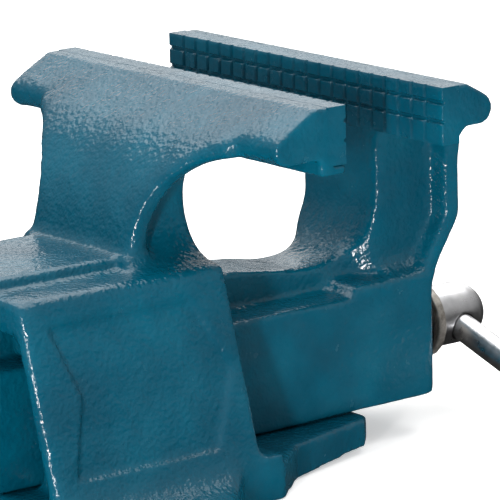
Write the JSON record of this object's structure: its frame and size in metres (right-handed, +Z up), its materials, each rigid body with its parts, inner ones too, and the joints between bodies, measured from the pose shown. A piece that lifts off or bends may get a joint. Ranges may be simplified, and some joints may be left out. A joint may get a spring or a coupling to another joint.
{
  "type": "bench vise",
  "caption": "Heavy fixed-base bench vise with painted cast body, sliding jaw on a boxed beam, serrated jaw plates and a steel screw with a sliding bar handle.",
  "frame": {"origin": "on the bench face, on the centre line, directly below the fixed jaw's gripping face", "axes": "+Z up, -Y towards the operator and the handle, +Y towards the back, X along the jaws"},
  "size_m": [0.194, 0.3107, 0.134],
  "materials": {
    "teal_paint": "glossy enamel over a lightly pebbled casting",
    "zinc_plate": "satin turned and plated",
    "raw_steel": "plain, slightly rough",
    "black_steel": "oil-blackened",
    "bronze": "machined bronze"
  },
  "bodies": {
    "fixed": {"fixed_body": "teal_paint", "fixed_jaw_plate": "teal_paint", "fixed_dowel_left": "black_steel", "fixed_dowel_right": "black_steel", "screw_nut": "bronze", "nut_bolt_front": "black_steel", "nut_lock_washer_front": "black_steel", "nut_bolt_rear": "black_steel", "nut_lock_washer_rear": "black_steel"},
    "moving": {"moving_jaw": "teal_paint", "moving_jaw_plate": "teal_paint", "moving_dowel_left": "black_steel", "moving_dowel_right": "black_steel"},
    "screw": {"main_screw": "zinc_plate", "thrust_washer": "raw_steel", "front_spring": "black_steel", "retaining_collar": "raw_steel", "retaining_pin": "black_steel"},
    "handle": {"handle_bar": "zinc_plate", "handle_knob_left": "zinc_plate", "handle_knob_right": "zinc_plate"}
  },
  "joints": [
    {"name": "jaw_slide", "type": "slide", "parent": "fixed", "child": "moving", "axis": [0, -1, 0], "range_m": [-0.0405, 0.109]},
    {"name": "screw_turn", "type": "hinge", "parent": "moving", "child": "screw", "pos_m": [0, -0.1059, 0.032], "axis": [0, -1, 0], "range_deg": [-2430, 6540]},
    {"name": "handle_slide", "type": "slide", "parent": "screw", "child": "handle", "axis": [0.9505, 0, 0.3107], "range_m": [-0.046, 0.054]}
  ],
  "couplings": [
    {"joint": "jaw_slide", "follows": "screw_turn", "m_per_rad": 0.00095493}
  ]
}
